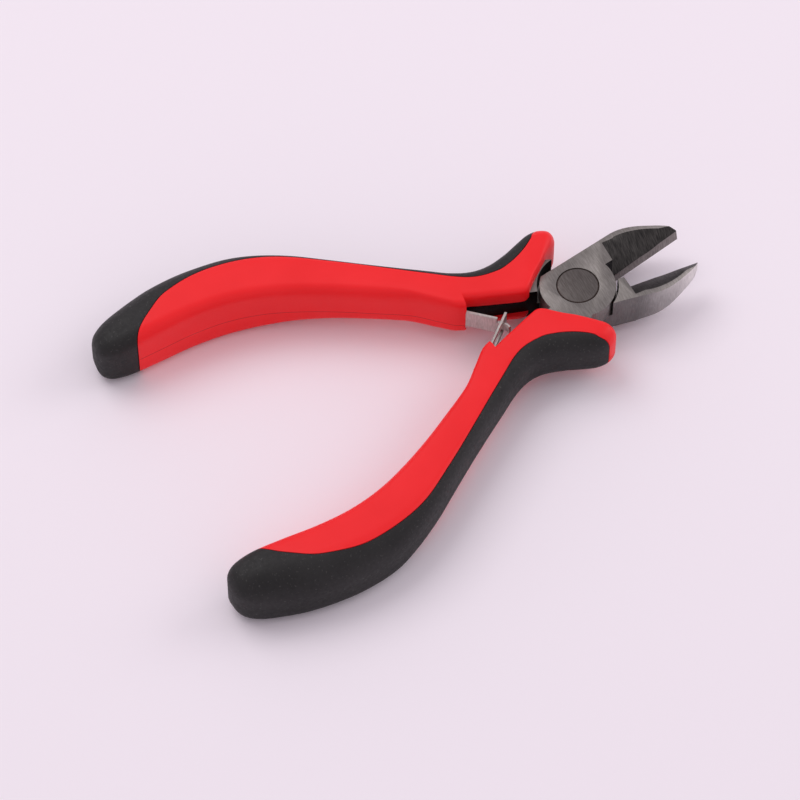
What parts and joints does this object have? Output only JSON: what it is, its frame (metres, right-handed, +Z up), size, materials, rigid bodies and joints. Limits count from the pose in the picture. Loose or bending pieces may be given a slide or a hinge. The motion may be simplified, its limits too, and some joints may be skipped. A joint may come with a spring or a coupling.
{
  "type": "flush cut pliers",
  "caption": "Small spring-opened flush cutting pliers with curved two-tone handles, a riveted lap joint and short ground jaws.",
  "frame": {"origin": "centre of the pliers' outline, on the surface they rest on", "axes": "+X along the pliers towards the jaws, +Y towards the left handle, +Z up out of the surface, along the rivet"},
  "size_m": [0.1106, 0.0738, 0.013],
  "materials": {
    "steel": "satin ground steel",
    "rivet_steel": "turned rivet head",
    "spring_steel": "bright spring strip",
    "red_plastic": "satin red",
    "black_rubber": "matte black"
  },
  "bodies": {
    "right_half": {"right_lever": "steel", "pivot_rivet": "rivet_steel", "right_leaf_spring": "spring_steel", "right_spring_rivet": "rivet_steel", "right_red_sleeve": "red_plastic", "right_black_grip": "black_rubber"},
    "left_half": {"left_lever": "steel", "left_leaf_spring": "spring_steel", "left_spring_rivet": "rivet_steel", "left_red_sleeve": "red_plastic", "left_black_grip": "black_rubber"}
  },
  "joints": [
    {"name": "pivot", "type": "hinge", "parent": "right_half", "child": "left_half", "pos_m": [0.03149, 0, 0.0065], "axis": [0, 0, 1], "range_deg": [-5, 17.4], "stiffness_Nm_per_rad": 1.8, "deforming": ["right_leaf_spring", "left_leaf_spring"]}
  ]
}
